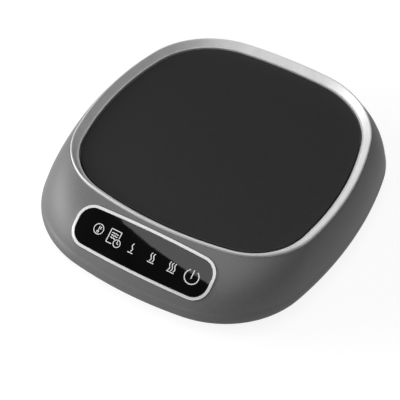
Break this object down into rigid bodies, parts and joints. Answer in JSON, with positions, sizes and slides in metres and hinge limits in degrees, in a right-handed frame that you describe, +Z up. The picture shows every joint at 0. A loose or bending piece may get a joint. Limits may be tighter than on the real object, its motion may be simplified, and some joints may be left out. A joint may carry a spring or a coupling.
{
  "type": "electric mug warmer",
  "caption": "Low squarish electric mug warmer: matt black heating plate in a bright flared ring on a sloping silver housing, with a gloss black touch panel on the front deck.",
  "frame": {"origin": "middle of the footprint on the surface that the feet stand on", "axes": "+Z up, -Y towards the control panel, +X to the right of someone facing the panel"},
  "size_m": [0.1226, 0.1365, 0.0264],
  "materials": {
    "silver_paint": "satin metallic grey paint",
    "bright_ring": "satin bright plating",
    "plate_coating": "matt black non-stick coating",
    "silicone": "matt",
    "heat_plastic": "matt",
    "mica": "matt",
    "insulation": "matt fibre felt",
    "steel": "brushed",
    "zinc_screw": "zinc plated",
    "lead_red": "satin silicone",
    "lead_white": "satin silicone",
    "sensor_glass": "gloss",
    "lens_gloss": "gloss black",
    "bright_trim": "polished",
    "white_diffuser": "matt white",
    "electrode": "clear film",
    "led_resin": "gloss resin",
    "board_green": "satin solder mask",
    "chip_epoxy": "matt epoxy",
    "connector_nylon": "satin nylon",
    "ribbon_grey": "satin vinyl",
    "core_ferrite": "matt ferrite",
    "copper_winding": "enamelled wire",
    "can_sleeve": "gloss sleeve",
    "film_yellow": "gloss epoxy",
    "black_base": "fine spark-eroded texture",
    "gland_rubber": "satin nylon",
    "foot_rubber": "matt"
  },
  "bodies": {
    "root": {"top_housing": "silver_paint", "bezel_ring": "bright_ring", "heating_plate": "plate_coating", "plate_seal": "silicone", "plate_carrier": "heat_plastic", "heater_element": "mica", "insulation_pad": "insulation", "clamp_plate": "steel", "clamp_screws": "zinc_screw", "heater_tabs": "steel", "heater_lead_left": "lead_red", "heater_lead_right": "lead_white", "thermistor": "sensor_glass", "thermal_fuse": "steel", "fuse_strap": "steel", "control_lens": "lens_gloss", "lens_frame": "bright_trim", "light_guide": "white_diffuser", "touch_pads": "electrode", "indicator_leds": "led_resin", "control_board": "board_green", "panel_screws": "zinc_screw", "control_chip": "chip_epoxy", "board_connector": "connector_nylon", "ribbon_harness": "ribbon_grey", "board_header": "connector_nylon", "power_board": "board_green", "transformer": "core_ferrite", "terminal_block": "connector_nylon", "triac": "chip_epoxy", "choke": "copper_winding", "smoothing_capacitor": "can_sleeve", "mains_fuse": "sensor_glass", "film_capacitor": "film_yellow", "board_screws": "zinc_screw", "base_cover": "black_base", "base_screws": "zinc_screw", "carrier_screws": "zinc_screw", "cord_gland": "gland_rubber", "foot_front_left": "foot_rubber", "foot_back_left": "foot_rubber", "foot_front_right": "foot_rubber", "foot_back_right": "foot_rubber"}
  },
  "joints": []
}
